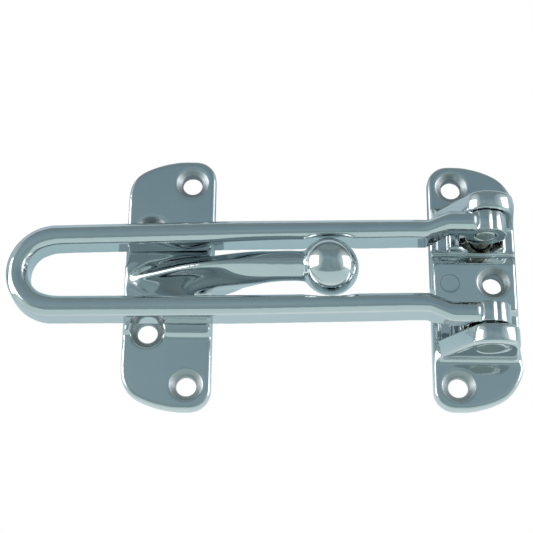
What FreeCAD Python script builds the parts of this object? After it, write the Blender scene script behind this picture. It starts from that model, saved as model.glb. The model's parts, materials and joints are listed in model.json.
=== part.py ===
import FreeCAD
import Part
import Sketcher
import math
import os

# Swing-bar door restrictor, millimetres.
# Origin: centre of the hinge plate's back face. +X points from the keep to the hinge,
# +Y runs along the hinge axis, +Z points out of the door.

V = FreeCAD.Vector

SIZES = {
    # both plates
    "plate_thick": 3.5,
    "plate_round": 0.95,
    "corner_small": 5.5,
    "sweep_radius": 16.0,
    "sweep_reach": 15.15,
    "sweep_blend": 3.0,
    "block_in": 0.45,
    "block_edge": 0.5,
    "hole_dia": 5.2,
    "sink_dia": 8.6,
    # hinge plate
    "hinge_wide": 22.7,
    "hinge_half_tall": 34.0,
    "hinge_hole_in": 6.4,
    "hinge_hole_half": 27.75,
    "mid_hole_in": 6.45,
    "pad_half": 9.0,
    "pad_rise": 1.5,
    "pocket_left": 9.4,
    "pocket_floor": 2.5,
    "seat_left": 6.3,
    "seat_right": 8.2,
    "seat_top": 5.5,
    "seat_trough": 9.3,
    "mark_dia": 4.9,
    "mark_deep": 0.08,
    "mark_x": -6.5,
    "mark_y": -0.4,
    # hinge
    "pivot_x": 2.1,
    "pivot_z": 12.6,
    "ear_in": 15.4,
    "ear_thick": 5.4,
    "ear_x": 2.3,
    "ear_z": 12.3,
    "ear_radius": 5.7,
    "ear_foot_left": 10.4,
    "ear_foot_right": 10.95,
    "ear_round": 1.0,
    "ear_inner_round": 0.6,
    "ledge_out": 0.8,
    "ledge_rise": 0.9,
    "pin_dia": 5.1,
    "pin_bevel": 0.3,
    "pin_head_dia": 7.6,
    "pin_head_thick": 1.3,
    "pin_head_sunk": 0.1,
    "press_gap": 0.02,
    "run_gap": 0.05,
    # detent
    "ball_dia": 5.5,
    "ball_gap": 0.12,
    "detent_y": 12.35,
    "bore_floor": 0.5,
    "wire_dia": 0.45,
    "spring_coils": 2.5,
    # bar
    "eye_radius": 5.5,
    "eye_in": 9.7,
    "eye_thick": 5.3,
    "eye_root": 4.8,
    "lobe_radius": 2.0,
    "lobe_count": 9,
    "leg_end": 2.15,
    "bar_top": 5.8,
    "bar_high": 7.2,
    "bar_thin": 5.3,
    "thin_start": 10.4,
    "thin_ramp": 2.2,
    "bar_drop": 5.3,
    "fall_start": 20.0,
    "bar_outer": 12.55,
    "bar_inner": 7.45,
    "jog_end": 9.7,
    "jog_start": 15.3,
    "taper_start": 62.0,
    "end_outer": 12.15,
    "end_inner": 7.0,
    "end_centre": 111.5,
    "end_slot_back": 2.3,
    "bar_chamfer": 1.3,
    "dent_deep": 0.9,
    "dent_long": 13.8,
    "overcut": 60.0,
    # keep
    "keep_x": 79.85,
    "keep_wide": 23.3,
    "keep_half_tall": 34.75,
    "keep_hole_in": 6.4,
    "keep_hole_half": 28.2,
    "side_hole_in": 6.45,
    "side_hole_half": 14.1,
    "block_half": 15.4,
    "block_rise": 1.5,
    "knob_dia": 14.8,
    "knob_x": 38.2,
    "knob_z": 13.7,
}

# Horn of the keep: each section lies across the horn at a distance left of the origin.
# ridge and crest are the half width and height of its top, side_* the upper shoulder,
# foot_* the lower shoulder and under_* the underside.
HORN = {
    "tip": (90.7, 0.3, 3.8, 0.5, 3.7, 0.9, 3.55, 0.9, 2.7),
    "rise": (83.4, 0.45, 8.3, 1.3, 6.9, 5.1, 4.95, 5.1, 2.6),
    "root": (76.1, 0.45, 11.9, 1.4, 9.9, 5.9, 5.1, 5.8, 2.2),
    "edge": (68.8, 0.35, 14.7, 1.7, 12.3, 4.6, 8.2, 4.2, 1.6),
    "throat": (61.5, 0.3, 16.2, 2.3, 13.7, 4.35, 11.0, 3.6, 5.0),
    "arm": (54.2, 0.3, 16.95, 2.9, 14.7, 4.25, 12.7, 2.7, 8.9),
    "neck": (46.9, 0.3, 17.3, 3.2, 15.0, 4.15, 13.4, 2.2, 10.1),
    "collar": (39.6, 0.3, 17.3, 3.2, 15.0, 4.15, 13.4, 2.2, 10.2),
}
HORN_PARTS = (
    "left", "ridge", "crest", "side_half", "side_high",
    "foot_half", "foot_high", "under_half", "under_high")

for section, values in HORN.items():
    for part, value in zip(HORN_PARTS, values):
        SIZES[section + "_" + part] = value

doc = FreeCAD.newDocument("restrictor")
sheet = doc.addObject("Spreadsheet::Sheet", "Sizes")
for row, (name, value) in enumerate(SIZES.items(), start=1):
    sheet.set("A" + str(row), name)
    sheet.set("B" + str(row), str(value))
    sheet.setAlias("B" + str(row), name)
doc.recompute()


def size(name):
    return float(sheet.get(name))


def cell(text):
    """Turns words that are sizes into references to the sheet."""
    out = []
    for word in text.split():
        out.append("Sizes." + word if word in SIZES else word)
    return " ".join(out)


def new_body(name, x="0", y="0", z="0"):
    body = doc.addObject("PartDesign::Body", name)
    body.Label = name
    body.setExpression("Placement.Base.x", cell(x))
    body.setExpression("Placement.Base.y", cell(y))
    body.setExpression("Placement.Base.z", cell(z))
    return body


def origin_plane(body, role):
    for feature in body.Origin.OriginFeatures:
        if feature.Role == role:
            return feature
    raise RuntimeError("no plane " + role)


def new_sketch(body, name, role, height="0"):
    """A sketch on one of the body's own origin planes, raised by height along its normal."""
    sketch = body.newObject("Sketcher::SketchObject", name)
    sketch.AttachmentSupport = [(origin_plane(body, role), "")]
    sketch.MapMode = "FlatFace"
    sketch.setExpression("AttachmentOffset.Base.z", cell(height))
    return sketch


def pin_point(sketch, geometry, position, x, y):
    """Ties a point to the sketch's origin by two sizes."""
    now = sketch.getPoint(geometry, position)
    index = sketch.addConstraint(Sketcher.Constraint("DistanceX", -1, 1, geometry, position, now.x))
    sketch.setExpression("Constraints[" + str(index) + "]", cell(x))
    index = sketch.addConstraint(Sketcher.Constraint("DistanceY", -1, 1, geometry, position, now.y))
    sketch.setExpression("Constraints[" + str(index) + "]", cell(y))


def set_radius(sketch, geometry, radius):
    now = sketch.Geometry[geometry].Radius
    index = sketch.addConstraint(Sketcher.Constraint("Radius", geometry, now))
    sketch.setExpression("Constraints[" + str(index) + "]", cell(radius))


def add_polygon(sketch, points):
    """Closed polygon; each corner is a pair of expressions."""
    count = len(points)
    first = sketch.GeometryCount
    wide = size("bar_outer")
    ring = []
    for k in range(count):
        turn = 2 * math.pi * k / count
        ring.append(V(wide * math.cos(turn), wide * math.sin(turn), 0))
    for k in range(count):
        sketch.addGeometry(Part.LineSegment(ring[k], ring[(k + 1) % count]), False)
    for k in range(count):
        sketch.addConstraint(Sketcher.Constraint("Coincident", first + k, 2, first + (k + 1) % count, 1))
    for k, (x, y) in enumerate(points):
        pin_point(sketch, first + k, 1, x, y)


def add_circle(sketch, x, y, radius):
    index = sketch.addGeometry(Part.Circle(V(0, 0, 0), V(0, 0, 1), 2.0), False)
    pin_point(sketch, index, 3, x, y)
    set_radius(sketch, index, radius)


def pad(body, sketch, length, midplane=False, backwards=False):
    feature = body.newObject("PartDesign::Pad", sketch.Name + "_pad")
    feature.Profile = sketch
    feature.setExpression("Length", cell(length))
    feature.Midplane = midplane
    feature.Reversed = backwards
    doc.recompute()
    return feature


def pocket(body, sketch, length, midplane=False, backwards=False):
    before = body.Shape.Volume
    feature = body.newObject("PartDesign::Pocket", sketch.Name + "_cut")
    feature.Profile = sketch
    feature.setExpression("Length", cell(length))
    feature.Midplane = midplane
    feature.Reversed = backwards
    doc.recompute()
    if not body.Shape.Volume < before - 1e-6:
        raise RuntimeError(sketch.Name + " cuts nothing")
    return feature


def pick_edges(body, rule):
    names = []
    for index, edge in enumerate(body.Tip.Shape.Edges, start=1):
        points = edge.discretize(5)
        if rule(edge, points):
            names.append("Edge" + str(index))
    if not names:
        raise RuntimeError("no edge found on " + body.Label)
    return names


def round_edges(body, name, radius, rule):
    base, edges = body.Tip, pick_edges(body, rule)
    feature = body.newObject("PartDesign::Fillet", name)
    feature.Base = (base, edges)
    feature.setExpression("Radius", cell(radius))
    doc.recompute()
    return feature


def bevel_edges(body, name, depth, rule):
    base, edges = body.Tip, pick_edges(body, rule)
    feature = body.newObject("PartDesign::Chamfer", name)
    feature.Base = (base, edges)
    feature.setExpression("Size", cell(depth))
    doc.recompute()
    return feature


def at_height(points, height):
    return all(abs(p.z - height) < 1e-4 for p in points)


def upright(points):
    return abs(points[0].x - points[-1].x) < 1e-5 and abs(points[0].y - points[-1].y) < 1e-5


def drill(body, name, height, centres):
    """Countersunk screw holes drilled down from the given height, all in one feature."""
    sketch = new_sketch(body, name, "XY_Plane", height)
    for x, y in centres:
        add_circle(sketch, x, y, "hole_dia / 2")
    doc.recompute()
    before = body.Tip.Shape.Volume
    hole = body.newObject("PartDesign::Hole", name + "_hole")
    hole.Profile = sketch
    hole.ThreadType = 0
    hole.DepthType = "ThroughAll"
    hole.HoleCutType = "Countersink"
    hole.HoleCutCountersinkAngle = 90
    hole.setExpression("Diameter", cell("hole_dia"))
    hole.setExpression("HoleCutDiameter", cell("sink_dia"))
    doc.recompute()
    if not body.Tip.Shape.Volume < before - 1e-6:
        raise RuntimeError(name + " drills nothing")


def plate(body, wide, tall, side):
    """Plate with two small corners and, on the given side, two long swept corners."""
    sketch = new_sketch(body, body.Name + "_outline", "XY_Plane")
    flat = "-1 * " + wide + " / 2" if side > 0 else wide + " / 2"
    far = wide + " / 2" if side > 0 else "-1 * " + wide + " / 2"
    start = far + (" - " if side > 0 else " + ") + "sweep_reach"
    w, h, r, reach = size(wide) / 2, size(tall), size("sweep_radius"), size("sweep_reach")
    cx = side * (w - reach)
    knee = h - r + math.sqrt(r * r - reach * reach)
    angle = math.atan2(knee - (h - r), side * w - cx)
    up = V(0, 0, 1)
    top_arc = (angle, math.pi / 2) if side > 0 else (math.pi / 2, angle)
    low_arc = (-math.pi / 2, -angle) if side > 0 else (-angle, -math.pi / 2)
    sketch.addGeometry(Part.LineSegment(V(-side * w, h, 0), V(-side * w, -h, 0)), False)
    sketch.addGeometry(Part.LineSegment(V(-side * w, -h, 0), V(cx, -h, 0)), False)
    sketch.addGeometry(Part.ArcOfCircle(Part.Circle(V(cx, r - h, 0), up, r), low_arc[0], low_arc[1]), False)
    sketch.addGeometry(Part.LineSegment(V(side * w, -knee, 0), V(side * w, knee, 0)), False)
    sketch.addGeometry(Part.ArcOfCircle(Part.Circle(V(cx, h - r, 0), up, r), top_arc[0], top_arc[1]), False)
    sketch.addGeometry(Part.LineSegment(V(cx, h, 0), V(-side * w, h, 0)), False)
    at_start, at_end = (1, 2) if side > 0 else (2, 1)
    sketch.addConstraint(Sketcher.Constraint("Coincident", 0, 2, 1, 1))
    sketch.addConstraint(Sketcher.Constraint("Coincident", 1, 2, 2, at_start))
    sketch.addConstraint(Sketcher.Constraint("Coincident", 2, at_end, 3, 1))
    sketch.addConstraint(Sketcher.Constraint("Coincident", 3, 2, 4, at_start))
    sketch.addConstraint(Sketcher.Constraint("Coincident", 4, at_end, 5, 1))
    sketch.addConstraint(Sketcher.Constraint("Coincident", 5, 2, 0, 1))
    pin_point(sketch, 0, 1, flat, tall)
    pin_point(sketch, 0, 2, flat, "-1 * " + tall)
    pin_point(sketch, 1, 2, start, "-1 * " + tall)
    pin_point(sketch, 5, 1, start, tall)
    pin_point(sketch, 2, 3, start, "sweep_radius - " + tall)
    pin_point(sketch, 4, 3, start, tall + " - sweep_radius")
    for end in (1, 2):
        index = sketch.addConstraint(Sketcher.Constraint("DistanceX", -1, 1, 3, end, side * w))
        sketch.setExpression("Constraints[" + str(index) + "]", cell(far))
    pad(body, sketch, "plate_thick")
    near = -side * w
    round_edges(body, body.Name + "_corners", "corner_small",
                lambda e, p: upright(p) and abs(p[0].x - near) < 1e-4)
    round_edges(body, body.Name + "_blends", "sweep_blend",
                lambda e, p: upright(p) and abs(p[0].x + near) < 1e-4)
    thick = size("plate_thick")
    round_edges(body, body.Name + "_rim", "plate_round", lambda e, p: at_height(p, thick))


def block(body, name, wide, half, rise):
    """Raised middle of a plate: sloping sides across the plate and short walls at its edges."""
    sketch = new_sketch(body, name, "YZ_Plane")
    base, shoulder, top = "plate_thick - plate_round / 2", "plate_thick", "plate_thick + " + rise
    inner = "( " + half + " - " + rise + " )"
    add_polygon(sketch, [
        ("-1 * " + half, base), (half, base), (half, shoulder),
        (inner, top), ("-1 * " + inner, top), ("-1 * " + half, shoulder)])
    pad(body, sketch, wide + " - 2 * block_in", midplane=True)
    level, reach = size("plate_thick") + size(rise), size(wide) / 2 - size("block_in")
    bevel_edges(body, name + "_ends", "block_edge",
                lambda e, p: at_height(p, level) and all(abs(abs(q.x) - reach) < 1e-4 for q in p))


def ledge(body, name, side):
    """Low step that the ear stands on, with a slope in front of its outer face."""
    sketch = new_sketch(body, name, "XY_Plane", "plate_thick")
    lead = "" if side > 0 else "-1 * "
    x = "hinge_wide / 2 - plate_round"
    near, away = lead + "( ear_in + ledge_out )", lead + "( ear_in + ear_thick + ledge_out )"
    add_polygon(sketch, [("-1 * ( " + x + " )", near), (x, near), (x, away), ("-1 * ( " + x + " )", away)])
    feature = pad(body, sketch, "ledge_rise")
    plain = body.Tip.Shape.Volume
    feature.TaperAngle = -45
    doc.recompute()
    if not body.Tip.Shape.Volume < plain:
        raise RuntimeError(name + " widens upwards")


def ear(body, name, side):
    """Ear that carries one pin: a knuckle on a ramp that rises from the plate."""
    cx, cz, r = size("ear_x"), size("ear_z"), size("ear_radius")
    z0 = size("plate_thick") - size("plate_round") / 2
    left, right = V(-size("ear_foot_left"), z0, 0), V(size("ear_foot_right"), z0, 0)
    centre = V(cx, cz, 0)

    def touch(foot, sign):
        d = centre - foot
        base = math.atan2(d.y, d.x) + sign * math.asin(r / d.Length)
        reach = math.sqrt(d.Length ** 2 - r * r)
        return V(foot.x + reach * math.cos(base), foot.y + reach * math.sin(base), 0)

    a, b = touch(right, -1), touch(left, 1)
    start = math.atan2(a.y - cz, a.x - cx)
    stop = math.atan2(b.y - cz, b.x - cx)
    sketch = new_sketch(body, name, "XZ_Plane", ("-1 * " if side > 0 else "") + "ear_in")
    sketch.addGeometry(Part.LineSegment(left, right), False)
    sketch.addGeometry(Part.LineSegment(right, a), False)
    sketch.addGeometry(Part.ArcOfCircle(Part.Circle(centre, V(0, 0, 1), r), start, stop), False)
    sketch.addGeometry(Part.LineSegment(b, left), False)
    sketch.addConstraint(Sketcher.Constraint("Coincident", 0, 2, 1, 1))
    sketch.addConstraint(Sketcher.Constraint("Tangent", 1, 2, 2, 1))
    sketch.addConstraint(Sketcher.Constraint("Tangent", 2, 2, 3, 1))
    sketch.addConstraint(Sketcher.Constraint("Coincident", 3, 2, 0, 1))
    pin_point(sketch, 0, 1, "-1 * ear_foot_left", "plate_thick - plate_round / 2")
    pin_point(sketch, 0, 2, "ear_foot_right", "plate_thick - plate_round / 2")
    pin_point(sketch, 2, 3, "ear_x", "ear_z")
    set_radius(sketch, 2, "ear_radius")
    pad(body, sketch, "ear_thick", backwards=side > 0)


def trough(body, name, side):
    """Pocket beside the pad and the hollowed seat under one eye, with the ball's bore."""
    y_in, y_out = ("pad_half", "ear_in") if side > 0 else ("-1 * ear_in", "-1 * pad_half")
    seat = new_sketch(body, name + "_seat", "XY_Plane", "plate_thick / 2")
    add_polygon(seat, [
        ("-1 * seat_left", y_in), ("seat_right", y_in),
        ("seat_right", y_out), ("-1 * seat_left", y_out)])
    pad(body, seat, "seat_top - plate_thick / 2")
    well = new_sketch(body, name + "_well", "XY_Plane", "seat_top + 1")
    add_polygon(well, [
        ("-1 * pocket_left", y_in), ("-1 * seat_left", y_in),
        ("-1 * seat_left", y_out), ("-1 * pocket_left", y_out)])
    pocket(body, well, "seat_top + 1 - pocket_floor")
    round_cut = new_sketch(body, name + "_round", "XZ_Plane", ("-1 * " if side > 0 else "") + "pad_half")
    add_circle(round_cut, "pivot_x", "pivot_z", "seat_trough")
    pocket(body, round_cut, "ear_in - pad_half", backwards=side < 0)


def hinge_plate():
    body = new_body("hinge_plate")
    plate(body, "hinge_wide", "hinge_half_tall", 1)
    block(body, "pad", "hinge_wide", "pad_half", "pad_rise")
    for side, name in ((1, "upper"), (-1, "lower")):
        trough(body, name, side)
    for side, name in ((1, "upper"), (-1, "lower")):
        ear(body, name + "_ear", side)
    y_in, y_out = size("ear_in"), size("ear_in") + size("ear_thick")

    def rim_at(level):
        def rule(edge, points):
            on_face = all(abs(abs(p.y) - level) < 1e-4 for p in points)
            return on_face and max(p.z for p in points) > size("seat_top") + 1
        return rule
    round_edges(body, "ear_rims", "ear_round", rim_at(y_out))
    round_edges(body, "ear_inner_rims", "ear_inner_round", rim_at(y_in))
    for side, name in ((1, "upper"), (-1, "lower")):
        ledge(body, name + "_ledge", side)
    bore = new_sketch(body, "pin_bores", "XZ_Plane")
    add_circle(bore, "pivot_x", "pivot_z", "pin_dia / 2 + press_gap")
    pocket(body, bore, "2 * ( ear_in + ear_thick ) + 2", midplane=True)
    for side, name in ((1, "upper"), (-1, "lower")):
        outer_face = ("-1 * " if side > 0 else "") + "( ear_in + ear_thick )"
        head = new_sketch(body, name + "_head", "XZ_Plane", outer_face)
        add_circle(head, "pivot_x", "pivot_z", "pin_head_dia / 2 + run_gap")
        pocket(body, head, "pin_head_thick + pin_head_sunk", backwards=side > 0)
        well = new_sketch(body, name + "_ball_bore", "XY_Plane", "bore_floor")
        add_circle(well, "pivot_x", ("" if side > 0 else "-1 * ") + "detent_y", "ball_dia / 2 + run_gap")
        pocket(body, well, "seat_top", backwards=True)
    mark = new_sketch(body, "pad_mark", "XY_Plane", "plate_thick + pad_rise")
    add_circle(mark, "mark_x", "mark_y", "mark_dia / 2")
    pocket(body, mark, "mark_deep")
    edge_x = "-1 * hinge_wide / 2 + hinge_hole_in"
    drill(body, "end_holes", "plate_thick", [(edge_x, "hinge_hole_half"), (edge_x, "-1 * hinge_hole_half")])
    drill(body, "mid_hole", "plate_thick + pad_rise", [("hinge_wide / 2 - mid_hole_in", "0")])
    return body


def hinge_pin(name, side):
    """Headed pin pressed into its ear; the eye turns on its free end."""
    body = new_body(name, "pivot_x", "0", "pivot_z")
    lead = "-1 * " if side > 0 else ""
    shank = new_sketch(body, name + "_shank", "XZ_Plane", lead + "eye_in")
    add_circle(shank, "0", "0", "pin_dia / 2")
    pad(body, shank, "ear_in + ear_thick - pin_head_sunk - eye_in", backwards=side > 0)
    head = new_sketch(body, name + "_head", "XZ_Plane", lead + "( ear_in + ear_thick - pin_head_sunk )")
    add_circle(head, "0", "0", "pin_head_dia / 2")
    pad(body, head, "pin_head_thick", backwards=side < 0)
    ends = (size("ear_in") + size("ear_thick") - size("pin_head_sunk"), size("eye_in"))
    bevel_edges(body, name + "_edges", "pin_bevel",
                lambda e, p: any(all(abs(abs(q.y) - y) < 1e-4 for q in p) for y in ends))
    return body


def detent_ball(name, side):
    body = new_body(name, "pivot_x", ("" if side > 0 else "-1 * ") + "detent_y",
                    "pivot_z - eye_radius - ball_gap - ball_dia / 2")
    sphere = body.newObject("PartDesign::AdditiveSphere", name + "_sphere")
    sphere.setExpression("Radius", cell("ball_dia / 2"))
    doc.recompute()
    return body


def detent_spring(name, side):
    """Short coil spring that stands on the floor of the bore and cups the ball."""
    wire = size("wire_dia") / 2
    coil = size("ball_dia") / 2 + size("run_gap") - wire - 0.1
    ball_z = size("pivot_z") - size("eye_radius") - size("ball_gap") - size("ball_dia") / 2
    reach = size("ball_dia") / 2 + wire
    top = ball_z - math.sqrt(reach * reach - coil * coil) - 0.05
    low = size("bore_floor") + wire + 0.02
    high = top - low
    path = Part.makeHelix(high / size("spring_coils"), high, coil)
    turns = [math.pi * k / 3 for k in range(7)]
    ring = Part.makePolygon([V(coil + wire * math.cos(a), 0, wire * math.sin(a)) for a in turns])
    tube = Part.Wire(path.Edges).makePipeShell([ring], True, True)
    spring = doc.addObject("Part::Feature", name)
    spring.Label = name
    spring.Shape = tube
    centre = V(size("pivot_x"), side * size("detent_y"), low)
    spring.Placement = FreeCAD.Placement(centre, FreeCAD.Rotation())
    return spring


def u_outline(sketch):
    """Plan of the bar: two legs, jogged outwards next to the eyes, joined by the round end."""
    outer = [
        ("-1 * leg_end", "eye_in + eye_thick"), ("-1 * jog_end", "eye_in + eye_thick"),
        ("-1 * jog_start", "bar_outer"), ("-1 * taper_start", "bar_outer"),
        ("-1 * end_centre", "end_outer")]
    slot_end = "-1 * end_centre + end_slot_back"
    inner = [
        ("-1 * leg_end", "eye_in"), ("-1 * jog_end", "eye_in"),
        ("-1 * jog_start", "bar_inner"), ("-1 * taper_start", "bar_inner"),
        (slot_end, "end_inner")]

    def flip(points):
        return [(x, "-1 * ( " + y + " )") for x, y in points]
    path = outer + flip(outer)[::-1] + flip(inner) + inner[::-1]
    xo, ro = size("end_centre"), size("end_outer")
    xi, ri = size("end_centre") - size("end_slot_back"), size("end_inner")
    guess = [
        (-1, 15), (-9, 15), (-15, 12), (-60, 12), (-xo, ro),
        (-xo, -ro), (-60, -12), (-15, -12), (-9, -15), (-1, -15),
        (-1, -9), (-9, -9), (-15, -7), (-60, -7), (-xi, -ri),
        (-xi, ri), (-60, 7), (-15, 7), (-9, 9), (-1, 9)]
    count = len(path)
    up = V(0, 0, 1)
    half = math.pi / 2
    ends = []
    for k in range(count):
        a, b = guess[k], guess[(k + 1) % count]
        if k == 4:
            sketch.addGeometry(Part.ArcOfCircle(Part.Circle(V(-xo, 0, 0), up, ro), half, 3 * half), False)
            ends.append((1, 2))
        elif k == 14:
            sketch.addGeometry(Part.ArcOfCircle(Part.Circle(V(-xi, 0, 0), up, ri), half, 3 * half), False)
            ends.append((2, 1))
        else:
            sketch.addGeometry(Part.LineSegment(V(a[0], a[1], 0), V(b[0], b[1], 0)), False)
            ends.append((1, 2))
    for k in range(count):
        n = (k + 1) % count
        sketch.addConstraint(Sketcher.Constraint("Coincident", k, ends[k][1], n, ends[n][0]))
    for k, (x, y) in enumerate(path):
        if k in (4, 14):
            continue
        if k in (5, 15):
            pin_point(sketch, k, 1, x, y)
            continue
        pin_point(sketch, k, ends[k][0], x, y)
    for k, x, r in ((4, "-1 * end_centre", "end_outer"), (14, slot_end, "end_inner")):
        pin_point(sketch, k, 3, x, "0")
        now = sketch.getPoint(k, ends[k][0]).x
        index = sketch.addConstraint(Sketcher.Constraint("DistanceX", -1, 1, k, ends[k][0], now))
        sketch.setExpression("Constraints[" + str(index) + "]", cell(x))


def swing_bar():
    body = new_body("swing_bar", "pivot_x", "0", "pivot_z")
    plan = new_sketch(body, "bar_plan", "XY_Plane", "-1 * overcut / 2")
    u_outline(plan)
    pad(body, plan, "overcut / 2 + 2 * bar_top")
    far = "( end_centre + overcut / 2 )"
    drop = "bar_drop * ( " + far + " - fall_start ) / ( end_centre - fall_start )"
    over = new_sketch(body, "bar_profile", "XZ_Plane")
    add_polygon(over, [
        ("bar_top", "bar_top"), ("bar_top", "3 * bar_top"), ("-1 * " + far, "3 * bar_top"),
        ("-1 * " + far, "bar_top - " + drop), ("-1 * fall_start", "bar_top")])
    pocket(body, over, "overcut", midplane=True)
    under = new_sketch(body, "bar_underside", "XZ_Plane")
    add_polygon(under, [
        ("bar_top", "bar_top - bar_thin"), ("-1 * thin_start", "bar_top - bar_thin"),
        ("-1 * ( thin_start + thin_ramp )", "bar_top - bar_high"),
        ("-1 * fall_start", "bar_top - bar_high"), ("-1 * " + far, "bar_top - bar_high - " + drop),
        ("-1 * " + far, "-1 * overcut"), ("bar_top", "-1 * overcut")])
    pocket(body, under, "overcut", midplane=True)
    top, start = size("bar_top"), size("fall_start")
    fall = size("bar_drop") / (size("end_centre") - start)

    def surface(x, level):
        return level - fall * max(0.0, -x - start)

    def along(points):
        return abs(points[0].y - points[-1].y) < size("bar_inner") and abs(points[0].x - points[-1].x) > 0.5

    def top_edge(edge, points):
        on_top = all(abs(p.z - surface(p.x, top)) < 1e-3 for p in points)
        return on_top and (along(points) or max(p.x for p in points) < -0.9 * size("end_centre"))
    bevel_edges(body, "bar_top_bevel", "bar_chamfer", top_edge)
    dents(body)
    for side, name in ((1, "upper"), (-1, "lower")):
        eye(body, name, side)
    bore = new_sketch(body, "eye_bores", "XZ_Plane")
    add_circle(bore, "0", "0", "pin_dia / 2 + run_gap")
    pocket(body, bore, "overcut", midplane=True)
    return body


def eye(body, name, side):
    """Barrel with a ring of lobes; the ball of the detent drops between two of them."""
    lift = ("-1 * " if side > 0 else "") + "eye_in"
    core = new_sketch(body, name + "_eye", "XZ_Plane", lift)
    add_circle(core, "0", "0", "eye_root")
    pad(body, core, "eye_thick", backwards=side > 0)
    lobe = new_sketch(body, name + "_lobe", "XZ_Plane", lift)
    add_circle(lobe, "0", "eye_radius - lobe_radius", "lobe_radius")
    first = pad(body, lobe, "eye_thick", backwards=side > 0)
    ring = body.newObject("PartDesign::PolarPattern", name + "_lobes")
    ring.Originals = [first]
    ring.Axis = (lobe, ["N_Axis"])
    ring.Angle = 360
    ring.setExpression("Occurrences", "Sizes.lobe_count")
    body.Tip = ring
    doc.recompute()


def dents(body):
    """Shallow hollows in both inner walls that let the knob through."""
    for side, name in ((1, "upper"), (-1, "lower")):
        sketch = new_sketch(body, name + "_dent", "XY_Plane", "2 * bar_top")
        x = -size("knob_x") - size("pivot_x")
        half, deep = size("dent_long") / 2, size("dent_deep")
        r = (half * half + deep * deep) / (2 * deep)
        y = side * (size("bar_inner") - 0.05)
        c = V(x, y - side * (r - deep), 0)
        swing = math.asin(half / r)
        mid = side * math.pi / 2
        line_x = "-1 * ( knob_x + pivot_x )"
        wall = ("" if side > 0 else "-1 * ") + "( bar_inner - 0.05 )"
        sketch.addGeometry(Part.ArcOfCircle(Part.Circle(c, V(0, 0, 1), r), mid - swing, mid + swing), False)
        a, b = (V(x - half, y, 0), V(x + half, y, 0))
        sketch.addGeometry(Part.LineSegment(a, b), False)
        first, second = (2, 1) if side > 0 else (1, 2)
        sketch.addConstraint(Sketcher.Constraint("Coincident", 0, first, 1, 1))
        sketch.addConstraint(Sketcher.Constraint("Coincident", 0, second, 1, 2))
        pin_point(sketch, 1, 1, line_x + " - dent_long / 2", wall)
        pin_point(sketch, 1, 2, line_x + " + dent_long / 2", wall)
        set_radius(sketch, 0, "( dent_long * dent_long / 4 + dent_deep * dent_deep ) / ( 2 * dent_deep )")
        pocket(body, sketch, "overcut / 2")


def horn_section(body, name):
    sketch = new_sketch(body, "horn_" + name, "YZ_Plane", "keep_x - " + name + "_left")
    right = [(name + "_ridge", name + "_crest"), (name + "_side_half", name + "_side_high"),
             (name + "_foot_half", name + "_foot_high"), (name + "_under_half", name + "_under_high")]
    left = [("-1 * " + y, z) for y, z in right]
    add_polygon(sketch, right[::-1] + left)
    return sketch


def keep_plate():
    body = new_body("keep_plate", "-1 * keep_x")
    plate(body, "keep_wide", "keep_half_tall", -1)
    block(body, "keep_block", "keep_wide", "block_half", "block_rise")
    sections = [horn_section(body, name) for name in HORN]
    doc.recompute()
    loft = body.newObject("PartDesign::AdditiveLoft", "horn")
    loft.Profile = sections[0]
    loft.Sections = sections[1:]
    loft.Ruled = False
    doc.recompute()
    knob = body.newObject("PartDesign::AdditiveSphere", "knob")
    knob.AttachmentSupport = [(origin_plane(body, "XY_Plane"), "")]
    knob.MapMode = "FlatFace"
    knob.setExpression("Radius", cell("knob_dia / 2"))
    knob.setExpression("AttachmentOffset.Base.x", cell("keep_x - knob_x"))
    knob.setExpression("AttachmentOffset.Base.z", cell("knob_z"))
    doc.recompute()
    edge_x = "keep_wide / 2 - keep_hole_in"
    side_x = "-1 * keep_wide / 2 + side_hole_in"
    drill(body, "end_screws", "plate_thick", [(edge_x, "keep_hole_half"), (edge_x, "-1 * keep_hole_half")])
    room = new_sketch(body, "side_room", "XY_Plane", "plate_thick")
    for y in ("side_hole_half", "-1 * side_hole_half"):
        add_circle(room, side_x, y, "sink_dia / 2")
    pocket(body, room, "block_rise + 1", backwards=True)
    drill(body, "side_screws", "plate_thick", [(side_x, "side_hole_half"), (side_x, "-1 * side_hole_half")])
    return body


parts = [
    hinge_plate(),
    hinge_pin("hinge_pin_upper", 1),
    hinge_pin("hinge_pin_lower", -1),
    swing_bar(),
    detent_ball("detent_ball_upper", 1),
    detent_ball("detent_ball_lower", -1),
    detent_spring("detent_spring_upper", 1),
    detent_spring("detent_spring_lower", -1),
    keep_plate(),
]
doc.recompute()

for item in doc.Objects:
    for state in ("Invalid", "Error"):
        if state in item.State:
            raise RuntimeError(item.Name + " is " + state)
os.makedirs("parts", exist_ok=True)
for item in parts:
    shape = item.Shape
    if shape.isNull() or not shape.isValid() or len(shape.Solids) != 1:
        raise RuntimeError(item.Label + " is not one sound solid")
for item in parts:
    item.Shape.exportStep("parts/" + item.Label + ".step")
    box = item.Shape.BoundBox
    print(item.Label, round(item.Shape.Volume, 1), "x", round(box.XMin, 2), round(box.XMax, 2),
          "y", round(box.YMin, 2), round(box.YMax, 2), "z", round(box.ZMin, 2), round(box.ZMax, 2))
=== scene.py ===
import json
import math

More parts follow.
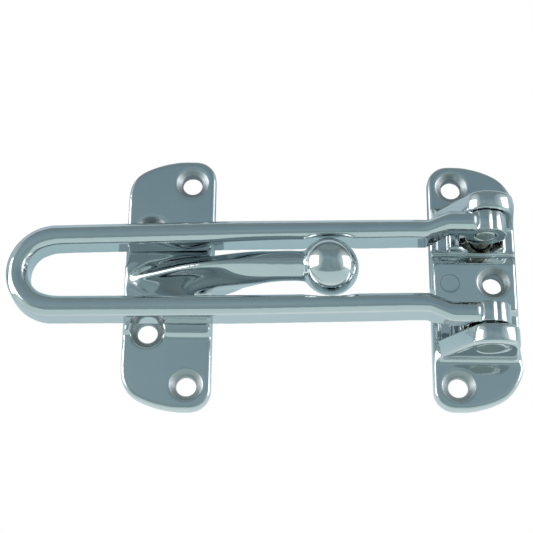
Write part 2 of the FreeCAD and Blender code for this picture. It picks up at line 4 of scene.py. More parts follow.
import bpy
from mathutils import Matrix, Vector

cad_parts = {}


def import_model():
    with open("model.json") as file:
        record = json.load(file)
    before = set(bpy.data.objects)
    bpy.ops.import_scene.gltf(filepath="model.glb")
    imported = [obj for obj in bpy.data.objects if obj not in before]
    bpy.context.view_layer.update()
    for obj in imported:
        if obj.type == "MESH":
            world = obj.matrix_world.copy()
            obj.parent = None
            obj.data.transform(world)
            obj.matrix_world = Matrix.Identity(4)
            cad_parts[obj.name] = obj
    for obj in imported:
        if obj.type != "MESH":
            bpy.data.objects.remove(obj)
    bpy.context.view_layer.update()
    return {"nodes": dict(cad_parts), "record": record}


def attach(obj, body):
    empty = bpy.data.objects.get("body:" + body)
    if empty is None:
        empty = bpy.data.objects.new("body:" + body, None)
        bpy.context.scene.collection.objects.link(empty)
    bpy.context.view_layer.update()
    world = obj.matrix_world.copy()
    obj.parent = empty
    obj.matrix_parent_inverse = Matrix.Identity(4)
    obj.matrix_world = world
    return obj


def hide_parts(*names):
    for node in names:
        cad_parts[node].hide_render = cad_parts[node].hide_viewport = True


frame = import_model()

# A polished chrome door restrictor that lies on a white ground under soft light. Metres.
# The keep is to the left, the hinge to the right, and south is towards the camera.

MM_PER_M = 1000
WHITE = (1.0, 1.0, 1.0, 1)
BLACK = (0.0, 0.0, 0.0, 1)

# Finishes. A pattern is the scale, detail and roughness of a noise.

CHROME = (0.62, 0.66, 0.67)
PIN_TINT = (0.60, 0.63, 0.60)
CLOUDED = (0.96, 0.965, 0.97)
HAZE_PATTERN = (160.0, 5.0, 0.6)
WAVE_PATTERN = (70.0, 2.0, 0.45)
PIT_PATTERN = (1500.0, 4.0, 0.7)
HAZE_SPAN = (0.30, 0.70)
SATIN_SPAN = (0.3, 0.75)
SATIN_SHARES = (0.7, 1.5)
WAVE_HEIGHT = 0.0006
PIT_HEIGHT = 0.00004
BEVEL_SAMPLES = 6
STEEL_PATTERN = (600.0, 6.0, 0.65)
STEEL_ROUGH = (0.12, 0.34)
# The steel's tones are very dark: painted shade for the balls in the hollows under the eyes.
STEEL_SHADE_TONES = [(0.35, (0.10, 0.085, 0.06, 1)), (0.65, (0.30, 0.28, 0.24, 1))]
WIRE_PATTERN = (900.0, 3.0, 0.5)
WIRE_TONES = [(0.3, (0.28, 0.28, 0.28, 1)), (0.7, (0.46, 0.46, 0.45, 1))]
WIRE_ROUGH = 0.3

# Forms that the finishes follow: the crowns, the pad's lean, its round mark and the countersinks; the
# mark's edge and the countersinks also get painted shade.

BAR_END = 0.1115
LEG_MIDDLE = 0.0100
EYE_MIDDLE = 0.01235
JOG_START = 0.0153
JOG_END = 0.0097
BAR_BOW = 34.0
PLATE_TOP = 0.0036
EAR_MIDDLE = 0.0181
EAR_HALF = 0.0030
EAR_BOW = 45.0
PAD_EDGE = 0.0080
PAD_LEAN = 0.00045
PAD_LOW = 0.0046
MARK = (-0.0065, -0.0004)
MARK_RADIUS = 0.00245
RING_HALF = 0.00022
# Painted shade: how much darker the thin line on the edge of the ejector's mark is, where its shallow
# groove would be shaded.
RING_PAINTED_SHADE = 0.45
SINK_RADIUS = 0.0043
SINK_FADE = 0.0001
SINK_HAZE = 0.40
# Painted shade: how much darker the colour is inside the countersinks.
SINK_PAINTED_SHADE = 0.25

# Skins. A pair such as TOE_LEFT is an edge and the length over which a change fades in from it.
# The rows of pairs named FULLER, DEEPER and WIDER are places and what is added there.

SKIN_VOXEL = 0.00028
SMOOTH_FACTOR = 0.5
RIM_ROUNDS = 7
EASE_FADE = 0.0015

# The keep.

HORN_FROM = -0.0935
HORN_TO = -0.0440
HORN_HALF = 0.0085
HORN_FOOT = 0.0030
KEEP_ROUNDS = 60
BLOCK_END = 0.0154
BLOCK_SLOPE = 0.0032
TOE_REACH = 0.0008
TOE_LEFT = (-0.083, 0.006)
TOE_ABOVE = (0.0038, 0.0006)
TOE_WITHIN = (0.006, 0.002)
NECK_SWELL = 0.07
NECK_FROM = (-0.074, 0.010)
NECK_TO = (-0.045, 0.003)
NECK_ABOVE = (0.006, 0.002)
HORN_NORTH = 0.0007
NORTH_FROM = (-0.089, 0.012)
NORTH_TO = (-0.0290, 0.0155)
NORTH_ABOVE = (0.0048, 0.0015)
KEEP_FULLER = ((0.0240, 0.0), (0.0275, 0.0012), (0.0300, 0.0018), (0.0330, 0.0017))
KEEP_LEFT = (-0.080, 0.006)
PLATE_BELOW = (0.0045, 0.0005)
SLOPE_TOP = 0.0130
SLOPE_FOOT = 0.0178
SLOPE_RISE = 0.0014
SLOPE_LOW = 0.0037
SLOPE_FROM = (-0.0838, 0.0008)
SLOPE_CLOSE = (0.0012, 0.0004)

# The bar. Its pivot is given in x and z, and the notches by their turns about it from straight up.

PIVOT = (0.0021, 0.0126)
BORE_SKIN = 0.0034
BORE_ROOM = 0.00012
EYE_RADIUS = 0.0055
EYE_SKIN = 0.0044
EYE_FADE = 0.0003
EYE_REACH = 0.0074
EYE_LEFT = -0.0012
NOTCH_DEEP = 0.00045
NOTCH_WIDE = 0.11
NOTCH_TURNS = (0.24, 1.57, 3.14)
NOTCH_FREE = 1.2
LEG_LEFT = (-0.0002, 0.0008)
LEG_DROP = 0.00045
FALL_START = -0.018
FALL_RATE = 0.0120
LEG_TOP = 0.0184
LEG_HIGH = 0.0072
LEG_FALL = 0.058
LEG_DEEPER = ((-0.0915, 0.00025), (-0.068, 0.0009), (-0.025, 0.0014), (-0.012, 0.0010), (-0.0104, 0.0))
DEPTH_BELOW = (0.35, 0.6)
LEG_WIDER = ((-0.064, 0.00045), (-0.027, 0.00010), (-0.018, 0.0))
LEG_OUTSIDE = (0.0088, 0.0030)
SLOT_CENTRE = -0.1092
SLOT_WITHIN = (0.0108, 0.0030)
SLOT_LEFT = (-0.1062, 0.0050)
SLOT_SHIFT = 0.0018

# The hinge plate.

PAD_END = 0.0090
PAD_SLOPE = 0.0028
PAD_FOOT = (0.0040, 0.0005)
PAD_ROOF = (0.0062, 0.0005)
PAD_ROUNDS = 25
PAD_FALL = 0.0014
PAD_BREAK = (0.0052, 0.0026)
PAD_NORTH = (0.0088, 0.0004)
PAD_ABOVE = (0.0040, 0.0006)
PAD_BELOW = (0.0075, 0.0010)
HINGE_FULLER = ((0.018, 0.0), (0.024, 0.0006), (0.029, 0.0012), (0.034, 0.0014))
HINGE_RIGHT = (0.0, 0.006)
EAR_FULLER = 0.0016
EAR_RIGHT = (0.0020, 0.0040)
EAR_ABOVE = (0.0060, 0.0070)

# Ground. The bands run from the north to the south as the metal mirrors them; they are painted light and
# shade on a glowing ground, with a painted shadow of the bar in them.
# LEFT_DARK and NORTH_DARK are where the ground's painted shade starts to darken it, where that ends and how
# dark it gets.

FLOOR_SIZE = 6.0
FLOOR_PLACE = (-0.05, 0.0, -0.0002)
PAPER = (0.85, 0.86, 0.87, 1)
FLOOR_NORTH = 0.070
FLOOR_SOUTH = -0.050
# The stops at 0.40 and 0.47 are a painted shadow of the bar on the ground to its north.
FLOOR_BANDS = [
    (0.00, (0.60, 0.71, 0.76, 1)),
    (0.33, (0.54, 0.66, 0.72, 1)),
    (0.40, (0.40, 0.52, 0.57, 1)),
    (0.47, (0.34, 0.47, 0.52, 1)),
    (0.55, (0.47, 0.64, 0.69, 1)),
    (0.75, (0.62, 0.76, 0.79, 1)),
    (0.97, (0.87, 0.96, 0.96, 1)),
]
FLOOR_PAINTED_SHADE = (0.08, 0.12, 0.15, 1)
KEEP_PLACE = 0.07985
PLATE_HALF = 0.014
PLATE_NORTH = 0.034
# CONTACT_REACH and CONTACT_MOST are a painted shadow on the ground behind the plates: how far north it
# reaches and how dark it gets.
CONTACT_REACH = 0.018
CONTACT_MOST = 0.55
LEFT_DARK = (-0.24, -0.36, 0.75)
NORTH_DARK = (0.10, 0.22, 0.70)

# Room and lights. LOW_BAND is two heights off the horizon and the share of the light at the lower one.
# A soft box is its name, place, width, height and power.

CEILING = [
    (0.00, (0.25, 0.35, 0.38, 1)),
    (0.48, (0.29, 0.40, 0.42, 1)),
    (0.62, (0.33, 0.44, 0.48, 1)),
    (0.72, (0.24, 0.34, 0.39, 1)),
    (0.86, (0.25, 0.31, 0.32, 1)),
    (1.00, (0.27, 0.36, 0.38, 1)),
]
CLOUD_PATTERN = (2.6, 2.0, 0.5)
CEILING_CLOUD = [(0.35, (0.88, 0.90, 0.92, 1)), (0.65, (1.10, 1.08, 1.06, 1))]
PALE_SIDE = [(0.0, (0.62, 0.77, 0.76, 1)), (0.6, (0.66, 0.81, 0.80, 1)), (1.0, (0.80, 0.90, 0.90, 1))]
PALE_TOWARDS = (0.10, -0.76, -0.64)
PALE_EDGE = 0.03
LOW_BAND = (0.03, 0.20, 0.45)
GLOW_COLOUR = (0.92, 1.00, 1.00, 1)
GLOW_FROM = 0.74
GLOW_TO = 0.95
GLOW_MOST = 0.75
GLOW_LEFT = (-0.92, 0.163, 0.356)
GLOW_RIGHT = (0.905, 0.20, 0.373)
BOX_AIM = (-0.035, 0.0, 0.01)
SOFT_BOXES = [
    ("box_left", (-0.65, 0.11, 0.25), 0.43, 0.50, 1.9),
    ("box_right", (0.60, 0.14, 0.27), 0.50, 0.46, 0.8),
    ("box_right_core", (0.58, 0.12, 0.26), 0.28, 0.32, 0.7),
]

# Camera. The turn is in degrees, and the lens and the sensor are in millimetres.

CAMERA_PLACE = (-0.053197, -0.130585, 0.345954)
CAMERA_TURN = (21.5005, -0.0586, 0.6613)
CAMERA_LENS = 94.48
CAMERA_SENSOR = 36.0
CAMERA_NEAR = 0.01


# Small helpers for node trees.

def node(tree, kind, x=0, y=0, **values):
    """A new node; each keyword is one of its sockets or settings."""
    made = tree.nodes.new(kind)
    made.location = (x, y)
    for key, value in values.items():
        if key in made.inputs:
            made.inputs[key].default_value = value
        else:
            setattr(made, key, value)
    return made


def feed(tree, value, socket):
    """Gives a socket a value, or links another socket to it."""
    if isinstance(value, (int, float, tuple)):
        socket.default_value = value
    else:
        tree.links.new(value, socket)


def ramp(tree, value, stops, x=0, y=0):
    """The colour that a value stands for, in a row of places and colours."""
    made = node(tree, "ShaderNodeValToRGB", x, y)
    band = made.color_ramp
    while len(band.elements) > 1:
        band.elements.remove(band.elements[-1])
    band.elements[0].position = stops[0][0]
    band.elements[0].color = stops[0][1]
    for place, colour in stops[1:]:
        band.elements.new(place).color = colour
    feed(tree, value, made.inputs["Fac"])
    return made.outputs["Color"]


def maths(tree, operation, first, second=None, x=0, y=0, clamp=False):
    """One sum: each side is a socket or a number."""
    made = node(tree, "ShaderNodeMath", x, y, operation=operation, use_clamp=clamp)
    feed(tree, first, made.inputs[0])
    if second is not None:
        feed(tree, second, made.inputs[1])
    return made.outputs["Value"]


def times(tree, first, *others):
    """The product of sockets and numbers."""
    for other in others:
        first = maths(tree, "MULTIPLY", first, other)
    return first


def step(tree, value, start, end, low, high, x=0, y=0, kind="LINEAR"):
    """A change from low to high as the value goes from start to end."""
    made = node(tree, "ShaderNodeMapRange", x, y, interpolation_type=kind)
    made.inputs["From Min"].default_value = start
    made.inputs["From Max"].default_value = end
    made.inputs["To Min"].default_value = low
    made.inputs["To Max"].default_value = high
    feed(tree, value, made.inputs["Value"])
    return made.outputs["Result"]


def noise(tree, place, pattern, x=0, y=0):
    """The strength of a noise at a place."""
    scale, detail, rough = pattern
    made = node(tree, "ShaderNodeTexNoise", x, y, Scale=scale, Detail=detail, Roughness=rough)
    feed(tree, place, made.inputs["Vector"])
    return made.outputs["Fac"]


def blend(tree, factor, first, second, x=0, y=0, kind="MIX"):
    """Two colours mixed; the colour sockets of this node are numbers 6 and 7."""
    made = node(tree, "ShaderNodeMix", x, y, data_type="RGBA", blend_type=kind)
    feed(tree, factor, made.inputs[0])
    feed(tree, first, made.inputs[6])
    feed(tree, second, made.inputs[7])
    return made.outputs[2]


def darken(tree, colour, amount, x=0, y=0):
    """A colour brought towards black."""
    return blend(tree, amount, colour, BLACK, x, y, "MULTIPLY")


def choose(tree, factor, first, second, x=0, y=0):
    """The first shader where the factor is 0, the second where it is 1."""
    made = node(tree, "ShaderNodeMixShader", x, y)
    feed(tree, factor, made.inputs["Fac"])
    feed(tree, first, made.inputs[1])
    feed(tree, second, made.inputs[2])
    return made.outputs["Shader"]


def bump(tree, height, normal, strength, distance, x=0, y=0):
    """A normal tilted by the slope of a height."""
    made = node(tree, "ShaderNodeBump", x, y, Strength=strength, Distance=distance)
    feed(tree, height, made.inputs["Height"])
    feed(tree, normal, made.inputs["Normal"])
    return made.outputs["Normal"]


def axes(tree, vector, x=0, y=0):
    """The sockets X, Y and Z of a vector."""
    made = node(tree, "ShaderNodeSeparateXYZ", x, y)
    feed(tree, vector, made.inputs["Vector"])
    return made.outputs


# Materials.

def bowed(tree, offset, bow):
    """Height of a gently crowned surface: it falls with the square of the offset."""
    return times(tree, offset, offset, -bow)


def bar_crown(tree, part):
    """The bar's flats are crowned along the middle of each leg and around the end."""
    back = maths(tree, "MINIMUM", maths(tree, "ADD", part["X"], BAR_END), 0.0)
    square = maths(tree, "ADD", times(tree, back, back), times(tree, part["Y"], part["Y"]))
    middle = step(tree, part["X"], -JOG_START, -JOG_END, LEG_MIDDLE, EYE_MIDDLE)
    return bowed(tree, maths(tree, "SUBTRACT", maths(tree, "SQRT", square), middle), BAR_BOW)


def ear_crown(tree, part):
    """The tops of the ears are crowned across their thickness, above the plate only."""
    beside = maths(tree, "ABSOLUTE", part["Y"])
    high = maths(tree, "GREATER_THAN", part["Z"], PLATE_TOP)
    inner = maths(tree, "GREATER_THAN", beside, EAR_MIDDLE - EAR_HALF)
    outer = maths(tree, "LESS_THAN", beside, EAR_MIDDLE + EAR_HALF)
    crown = bowed(tree, maths(tree, "SUBTRACT", beside, EAR_MIDDLE), EAR_BOW)
    return times(tree, crown, high, inner, outer)


def pad_tilt(tree, part):
    """The pad leans a little to the south."""
    lean = step(tree, part["Y"], -PAD_EDGE, PAD_EDGE, -PAD_LEAN, PAD_LEAN)
    high = maths(tree, "GREATER_THAN", part["Z"], PAD_LOW)
    within = maths(tree, "LESS_THAN", maths(tree, "ABSOLUTE", part["Y"]), PAD_EDGE)
    return times(tree, lean, high, within)


def hinge_relief(tree, part):
    """The crowned ears and the leaning pad together."""
    return maths(tree, "ADD", ear_crown(tree, part), pad_tilt(tree, part))


def fine_ring(tree, part):
    """1 on the edge of the round mark that the casting's ejector left on the pad."""
    across = maths(tree, "ADD", part["X"], -MARK[0])
    along = maths(tree, "ADD", part["Y"], -MARK[1])
    square = maths(tree, "ADD", times(tree, across, across), times(tree, along, along))
    off = maths(tree, "SUBTRACT", maths(tree, "SQRT", square), MARK_RADIUS)
    return step(tree, maths(tree, "ABSOLUTE", off), 0.0, RING_HALF, 1.0, 0.0)


def near_holes(tree, part, places):
    """1 inside the countersinks and holes around the places, 0 outside."""
    flat = node(tree, "ShaderNodeCombineXYZ", -1500, -700)
    feed(tree, part["X"], flat.inputs["X"])
    feed(tree, part["Y"], flat.inputs["Y"])
    nearest = None
    for x, y in places:
        gap = node(tree, "ShaderNodeVectorMath", -1300, -700, operation="DISTANCE")
        feed(tree, flat.outputs["Vector"], gap.inputs[0])
        feed(tree, (x, y, 0.0), gap.inputs[1])
        far = gap.outputs["Value"]
        nearest = far if nearest is None else maths(tree, "MINIMUM", nearest, far)
    return step(tree, nearest, SINK_RADIUS - SINK_FADE, SINK_RADIUS + SINK_FADE, 1.0, 0.0)


def metal(name):
    """A new metal: its material, node tree, shader and the piece's own coordinates."""
    mat = bpy.data.materials.new(name)
    mat.use_nodes = True
    tree = mat.node_tree
    shader = tree.nodes["Principled BSDF"]
    shader.inputs["Metallic"].default_value = 1.0
    where = node(tree, "ShaderNodeTexCoord", -2000, 0)
    return mat, tree, shader, where.outputs["Object"]


def plated(name, tint, rough, wave, pits, edge, places=(), crown=None, ring=False):
    """Plated zinc casting: a mirror with faint haze, slow waves, fine pits and softened edges; painted
    shade darkens the colour inside the countersinks and on the edge of the ejector's mark.
    """
    mat, tree, shader, where = metal(name)
    part = axes(tree, where, -1800, 300)
    haze = noise(tree, where, HAZE_PATTERN, -900, 150)
    clouded = tuple(value * share for value, share in zip(tint, CLOUDED))
    colour = ramp(tree, haze, [(HAZE_SPAN[0], (*clouded, 1)), (HAZE_SPAN[1], (*tint, 1))], -650, 260)
    satin = step(tree, haze, *SATIN_SPAN, rough * SATIN_SHARES[0], rough * SATIN_SHARES[1], -650, 0)
    if places:
        sunk = near_holes(tree, part, places)
        satin = maths(tree, "ADD", satin, times(tree, sunk, SINK_HAZE))
        # Painted shade: the colour is darker inside the countersinks and holes.
        colour = darken(tree, colour, times(tree, sunk, SINK_PAINTED_SHADE), -400, 300)
    if ring:
        # Painted shade: a thin dark line on the edge of the ejector's round mark.
        colour = darken(tree, colour, times(tree, fine_ring(tree, part), RING_PAINTED_SHADE), -200, 300)
    feed(tree, colour, shader.inputs["Base Color"])
    feed(tree, satin, shader.inputs["Roughness"])
    soft = node(tree, "ShaderNodeBevel", -700, -500, samples=BEVEL_SAMPLES, Radius=edge)
    normal = soft.outputs["Normal"]
    if crown is not None:
        normal = bump(tree, crown(tree, part), normal, strength=1.0, distance=1.0, x=-600, y=-350)
    slow = noise(tree, where, WAVE_PATTERN, -900, -150)
    fine = noise(tree, where, PIT_PATTERN, -900, -380)
    normal = bump(tree, slow, normal, wave, WAVE_HEIGHT, -420, -150)
    normal = bump(tree, fine, normal, pits, PIT_HEIGHT, -200, -250)
    feed(tree, normal, shader.inputs["Normal"])
    return mat


def dark_steel(name):
    """Bearing steel, very dark and brownish, mottled in tone and roughness; the dark tone is painted shade
    for the hollows under the eyes where the balls sit.
    """
    mat, tree, shader, where = metal(name)
    cloud = noise(tree, where, STEEL_PATTERN, -700, 100)
    feed(tree, ramp(tree, cloud, STEEL_SHADE_TONES, -450, 150), shader.inputs["Base Color"])
    feed(tree, step(tree, cloud, 0.0, 1.0, *STEEL_ROUGH, -450, -100), shader.inputs["Roughness"])
    return mat


def spring_steel(name):
    """Drawn wire, streaked a little in its tone."""
    mat, tree, shader, where = metal(name)
    drawn = noise(tree, where, WIRE_PATTERN, -700, 0)
    feed(tree, ramp(tree, drawn, WIRE_TONES, -450, 100), shader.inputs["Base Color"])
    shader.inputs["Roughness"].default_value = WIRE_ROUGH
    return mat


def dress(material, *names):
    """Gives nodes a finish."""
    for name in names:
        for held in frame["nodes"][name].material_slots:
            held.material = material


def hole_places(plate):
    """Centres of one plate's countersunk holes, from the record's mounts."""
    places = []
    for mount in frame["record"]["mounts"]:
        if mount["name"].startswith(plate) and "hole" in mount["name"]:
            x, y = mount["pos_m"][:2]
            half = mount["dims"].get("spacing_y_mm", 0) / 2 / MM_PER_M
            places += [(x, y - half), (x, y + half)] if half else [(x, y)]
    return places


# Skins: each casting shows as a fine mesh of its node, with softened edges and the last of its form.

def after(value, start, fade):
    """0 up to start and 1 from start + fade on."""
    return max(0.0, min(1.0, (value - start) / fade))


def before(value, end, fade):
    """1 up to end - fade and 0 from end on."""
    return max(0.0, min(1.0, (end - value) / fade))


def between(value, points):
    """Reads a value off a line through the points, which are pairs in rising order."""
    if value <= points[0][0]:
        return points[0][1]
    for (x0, y0), (x1, y1) in zip(points, points[1:]):
        if value <= x1:
            return y0 + (y1 - y0) * (value - x0) / (x1 - x0)
    return points[-1][1]


def keep_eased(co):
    """The horn down to its foot, and the slopes at both ends of the block."""
    along = after(co.x, HORN_FROM, EASE_FADE) * before(co.x, HORN_TO, EASE_FADE)
    across = before(abs(co.y), HORN_HALF, EASE_FADE)
    slope = before(abs(abs(co.y) - BLOCK_END), BLOCK_SLOPE, EASE_FADE)
    return max(along * across, slope) * after(co.z, HORN_FOOT, EASE_FADE)


def hinge_eased(co):
    """The edges of the pad, where it falls away to the troughs."""
    edge = before(abs(abs(co.y) - PAD_END), PAD_SLOPE, EASE_FADE)
    return edge * after(co.z, *PAD_FOOT) * before(co.z, *PAD_ROOF)


def even_slope(co):
    """One even slope at the block's south end, to the right of SLOPE_FROM."""
    way = (SLOPE_FOOT + co.y) / (SLOPE_FOOT - SLOPE_TOP)
    if 0.0 < way < 1.0 and co.z > SLOPE_LOW:
        miss = PLATE_TOP + SLOPE_RISE * way - co.z
        co.z += miss * before(abs(miss), *SLOPE_CLOSE) * after(co.x, *SLOPE_FROM)


def keep_form(co):
    """The toe meets the plate's edge, the neck is fuller, the horn leans north and the corners are full."""
    toe = before(co.x, *TOE_LEFT) * after(co.z, *TOE_ABOVE) * before(abs(co.y), *TOE_WITHIN)
    co.x -= TOE_REACH * toe
    neck = after(co.x, *NECK_FROM) * before(co.x, *NECK_TO) * after(co.z, *NECK_ABOVE)
    co.y *= 1.0 + NECK_SWELL * neck
    north = after(co.x, *NORTH_FROM) * before(co.x, *NORTH_TO) * after(co.z, *NORTH_ABOVE)
    co.y += HORN_NORTH * north
    co.x -= between(abs(co.y), KEEP_FULLER) * before(co.x, *KEEP_LEFT) * before(co.z, *PLATE_BELOW)
    even_slope(co)


def round_eye(co):
    """The eyes are plain barrels with shallow notches for the balls, and their bores clear the pins."""
    dx, dz = co.x - PIVOT[0], co.z - PIVOT[1]
    reach = math.hypot(dx, dz)
    if 0.0 < reach < BORE_SKIN:
        co.x += BORE_ROOM * dx / reach
        co.z += BORE_ROOM * dz / reach
    if reach < EYE_SKIN or reach > EYE_REACH or co.x < EYE_LEFT:
        return
    turn = math.atan2(dx, dz)
    notch = max(math.exp(-((abs(turn) - place) / NOTCH_WIDE) ** 2) for place in NOTCH_TURNS)
    if -NOTCH_FREE < turn < 0.0:
        notch = 0.0
    wanted = EYE_RADIUS - NOTCH_DEEP * notch
    scale = 1.0 + after(reach, EYE_SKIN, EYE_FADE) * (wanted / reach - 1.0)
    co.x = PIVOT[0] + dx * scale
    co.z = PIVOT[1] + dz * scale


def bar_form(co):
    """Round eyes, wider, lower and deeper legs, and a slot that reaches further to the left."""
    round_eye(co)
    leg = before(co.x, *LEG_LEFT)
    fallen = max(0.0, FALL_START - co.x)
    depth = (LEG_TOP - LEG_FALL * fallen - co.z) / LEG_HIGH
    deeper = between(co.x, LEG_DEEPER) * after(depth, *DEPTH_BELOW)
    co.z -= leg * (LEG_DROP + deeper) + FALL_RATE * fallen
    reach = math.hypot(co.x - SLOT_CENTRE, co.y)
    co.x -= SLOT_SHIFT * before(reach, *SLOT_WITHIN) * before(co.x, *SLOT_LEFT)
    back = min(0.0, co.x + BAR_END)
    away = math.hypot(back, co.y)
    wider = between(co.x, LEG_WIDER) * after(away, *LEG_OUTSIDE)
    if wider > 0.0:
        co.x += wider * back / away
        co.y += wider * co.y / away


def hinge_form(co):
    """Fuller corners and ears on the side away from the bar, and a pad that slopes off to the north."""
    co.x += between(abs(co.y), HINGE_FULLER) * after(co.x, *HINGE_RIGHT) * before(co.z, *PLATE_BELOW)
    co.x += EAR_FULLER * after(co.x, *EAR_RIGHT) * after(co.z, *EAR_ABOVE)
    along = after(co.y, *PAD_BREAK) * before(co.y, *PAD_NORTH)
    co.z -= PAD_FALL * along * after(co.z, *PAD_ABOVE) * before(co.z, *PAD_BELOW)


def settle(thing):
    """Turns an object's modifiers into its mesh."""
    bpy.context.view_layer.update()
    seen = thing.evaluated_get(bpy.context.evaluated_depsgraph_get())
    done = bpy.data.meshes.new_from_object(seen)
    thing.modifiers.clear()
    thing.data = done


def smooth(thing, rounds, group=""):
    """Smooths all of an object, or one of its groups."""
    change = thing.modifiers.new("smooth", "SMOOTH")
    change.factor = SMOOTH_FACTOR
    change.iterations = rounds
    change.vertex_group = group


def cast_skin(name, body, finish, form, weigh=None, rounds=0):
    """A fine mesh in place of the node, formed, and smoothed most where weigh says so."""
    skin = bpy.data.objects.new(name + "_skin", frame["nodes"][name].data.copy())
    bpy.context.scene.collection.objects.link(skin)
    grid = skin.modifiers.new("grid", "REMESH")
    grid.mode = "VOXEL"
    grid.voxel_size = SKIN_VOXEL
    grid.use_smooth_shade = True
    settle(skin)
    for vertex in skin.data.vertices:
        form(vertex.co)
    if weigh is not None:
        group = skin.vertex_groups.new(name="eased")
        for vertex in skin.data.vertices:
            weight = weigh(vertex.co)
            if weight > 0.0:
                group.add([vertex.index], weight, "REPLACE")
        smooth(skin, rounds, "eased")
    smooth(skin, RIM_ROUNDS)
    settle(skin)
    skin.data.materials.clear()
    skin.data.materials.append(finish)
    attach(skin, body)
    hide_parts(name)


# Surroundings.

def beside_plate(tree, x, left):
    """1 in the strip of ground in line with a plate, whose middle is this far to the left."""
    return maths(tree, "LESS_THAN", maths(tree, "ABSOLUTE", maths(tree, "ADD", x, left)), PLATE_HALF)


def ground():
    """Plain white to the eye; in the metal it glows with painted light and shade: pale to the south, grey
    to the north, with painted shadows north of the bar and behind the plates.
    """
    bpy.ops.mesh.primitive_plane_add(size=FLOOR_SIZE, location=FLOOR_PLACE)
    floor = bpy.context.object
    floor.name = "ground"
    mat = bpy.data.materials.new("white_ground")
    mat.use_nodes = True
    tree = mat.node_tree
    tree.nodes.clear()
    where = node(tree, "ShaderNodeNewGeometry", -1500, -400)
    place = axes(tree, where.outputs["Position"], -1300, -400)
    x, y = place["X"], place["Y"]
    along = step(tree, y, FLOOR_NORTH, FLOOR_SOUTH, 0.0, 1.0, -700, -400)
    shade = ramp(tree, along, FLOOR_BANDS, -480, -400)
    by_keep, by_hinge = beside_plate(tree, x, KEEP_PLACE), beside_plate(tree, x, 0.0)
    plates = maths(tree, "ADD", by_keep, by_hinge, clamp=True)
    # Painted shadow on the ground just north of the plates, and painted shade far to the left and far to
    # the north.
    behind = step(tree, y, PLATE_NORTH, PLATE_NORTH + CONTACT_REACH, CONTACT_MOST, 0.0)
    contact_shadow = times(tree, plates, behind, maths(tree, "GREATER_THAN", y, 0.0))
    left_end = step(tree, x, LEFT_DARK[0], LEFT_DARK[1], 0.0, LEFT_DARK[2])
    north_end = step(tree, y, NORTH_DARK[0], NORTH_DARK[1], 0.0, NORTH_DARK[2])
    dark = maths(tree, "MAXIMUM", contact_shadow, maths(tree, "MAXIMUM", left_end, north_end))
    paper = node(tree, "ShaderNodeBsdfDiffuse", -100, -100, Color=PAPER)
    # Seen in the metal, the ground glows with these painted bands of light and shade.
    mirrored = node(tree, "ShaderNodeEmission", -100, -400)
    feed(tree, blend(tree, dark, shade, FLOOR_PAINTED_SHADE, -150, -500), mirrored.inputs["Color"])
    plain = node(tree, "ShaderNodeEmission", -100, -250, Color=WHITE)
    rays = node(tree, "ShaderNodeLightPath", -500, 200).outputs
    surface = choose(
        tree, rays["Is Glossy Ray"], paper.outputs["BSDF"], mirrored.outputs["Emission"], 100, 0)
    surface = choose(tree, rays["Is Camera Ray"], surface, plain.outputs["Emission"], 300, 0)
    out = node(tree, "ShaderNodeOutputMaterial", 500, 0)
    feed(tree, surface, out.inputs["Surface"])
    floor.data.materials.append(mat)


def facing(tree, where, towards, x=0, y=0):
    """How far a direction points the given way, from -1 to 1."""
    made = node(tree, "ShaderNodeVectorMath", x, y, operation="DOT_PRODUCT")
    feed(tree, where, made.inputs[0])
    feed(tree, towards, made.inputs[1])
    return made.outputs["Value"]


def around_box(tree, where, towards):
    """The light that falls off softly around a soft box."""
    near = facing(tree, where, towards, -900, 700)
    return step(tree, near, GLOW_FROM, GLOW_TO, 0.0, GLOW_MOST, -700, 700)


def room():
    """Grey overhead and to the north, pale low in the south, seen only in the metal."""
    world = bpy.data.worlds.new("room")
    bpy.context.scene.world = world
    world.use_nodes = True
    tree = world.node_tree
    tree.nodes.clear()
    where = node(tree, "ShaderNodeTexCoord", -1100, 0).outputs["Generated"]
    way = axes(tree, where, -900, 200)
    north = step(tree, way["Y"], -1.0, 1.0, 0.0, 1.0, -700, 250)
    cloud = noise(tree, where, CLOUD_PATTERN, -700, 500)
    grey = node(tree, "ShaderNodeVectorMath", -250, 350, operation="MULTIPLY")
    feed(tree, ramp(tree, north, CEILING, -500, 250), grey.inputs[0])
    feed(tree, ramp(tree, cloud, CEILING_CLOUD, -500, 500), grey.inputs[1])
    start, end, dimmest = LOW_BAND
    toned = node(tree, "ShaderNodeVectorMath", -100, 350, operation="SCALE")
    feed(tree, grey.outputs["Vector"], toned.inputs["Vector"])
    share = step(tree, maths(tree, "ABSOLUTE", way["Z"]), start, end, dimmest, 1.0)
    feed(tree, share, toned.inputs["Scale"])
    side = facing(tree, where, tuple(Vector(PALE_TOWARDS).normalized()), -900, -100)
    edge = step(tree, side, -PALE_EDGE, PALE_EDGE, 0.0, 1.0, -700, -100, "SMOOTHSTEP")
    walls = blend(tree, edge, toned.outputs["Vector"], ramp(tree, side, PALE_SIDE, -500, -300))
    left, right = around_box(tree, where, GLOW_LEFT), around_box(tree, where, GLOW_RIGHT)
    glow = maths(tree, "ADD", left, right, 0, 300)
    shown = node(tree, "ShaderNodeBackground", 300, 0)
    feed(tree, blend(tree, glow, walls, GLOW_COLOUR, 150, 0), shown.inputs["Color"])
    plain = node(tree, "ShaderNodeBackground", 300, -200, Color=WHITE)
    rays = node(tree, "ShaderNodeLightPath", 300, 300).outputs
    surface = choose(
        tree, rays["Is Camera Ray"], shown.outputs["Background"], plain.outputs["Background"], 600, 0)
    out = node(tree, "ShaderNodeOutputWorld", 900, 0)
    feed(tree, surface, out.inputs["Surface"])


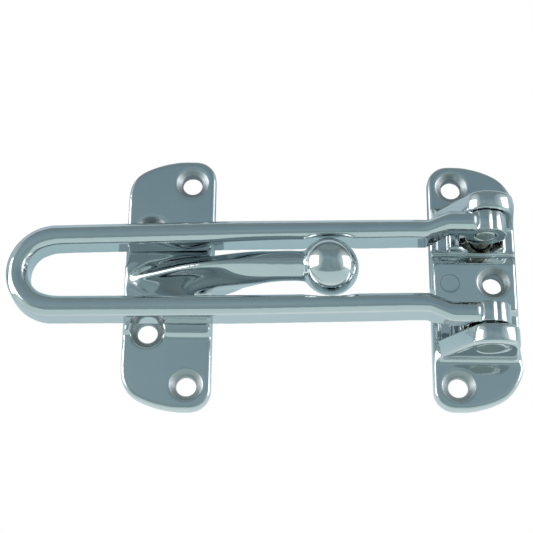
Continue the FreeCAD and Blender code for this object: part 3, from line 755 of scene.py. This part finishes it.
def soft_box(name, place, wide, tall, power):
    """A lit panel that faces the restrictor."""
    lamp = bpy.data.lights.new(name, "AREA")
    lamp.shape = "RECTANGLE"
    lamp.size = wide
    lamp.size_y = tall
    lamp.energy = power
    thing = bpy.data.objects.new(name, lamp)
    bpy.context.scene.collection.objects.link(thing)
    thing.location = place
    thing.rotation_euler = (Vector(BOX_AIM) - Vector(place)).to_track_quat("-Z", "Y").to_euler()


def camera():
    """Looks down from the south with a long lens."""
    data = bpy.data.cameras.new("camera")
    data.sensor_width = CAMERA_SENSOR
    data.lens = CAMERA_LENS
    data.clip_start = CAMERA_NEAR
    thing = bpy.data.objects.new("camera", data)
    bpy.context.scene.collection.objects.link(thing)
    thing.location = CAMERA_PLACE
    thing.rotation_euler = tuple(math.radians(angle) for angle in CAMERA_TURN)
    bpy.context.scene.camera = thing


hinge_finish = plated(
    "chrome_castings", CHROME, rough=0.06, wave=0.10, pits=0.10, edge=0.0004,
    places=hole_places("hinge_plate"), crown=hinge_relief, ring=True)
bar_finish = plated("chrome_bar", CHROME, rough=0.055, wave=0.08, pits=0.08, edge=0.0004, crown=bar_crown)
keep_finish = plated(
    "chrome_keep", CHROME, rough=0.055, wave=0.08, pits=0.08, edge=0.0005, places=hole_places("keep_plate"))
pin_finish = plated("chrome_pins", PIN_TINT, rough=0.28, wave=0.05, pits=0.25, edge=0.0001)
dress(hinge_finish, "hinge_plate")
dress(bar_finish, "swing_bar")
dress(keep_finish, "keep_plate")
dress(pin_finish, "hinge_pin_upper", "hinge_pin_lower")
dress(dark_steel("detent_steel"), "detent_ball_upper", "detent_ball_lower")
dress(spring_steel("spring_wire"), "detent_spring_upper", "detent_spring_lower")
cast_skin("keep_plate", "mounted_plates", keep_finish, keep_form, keep_eased, KEEP_ROUNDS)
cast_skin("swing_bar", "bar", bar_finish, bar_form)
cast_skin("hinge_plate", "mounted_plates", hinge_finish, hinge_form, hinge_eased, PAD_ROUNDS)
camera()
ground()
room()
for box in SOFT_BOXES:
    soft_box(*box)
bpy.context.scene.view_settings.view_transform = "Standard"
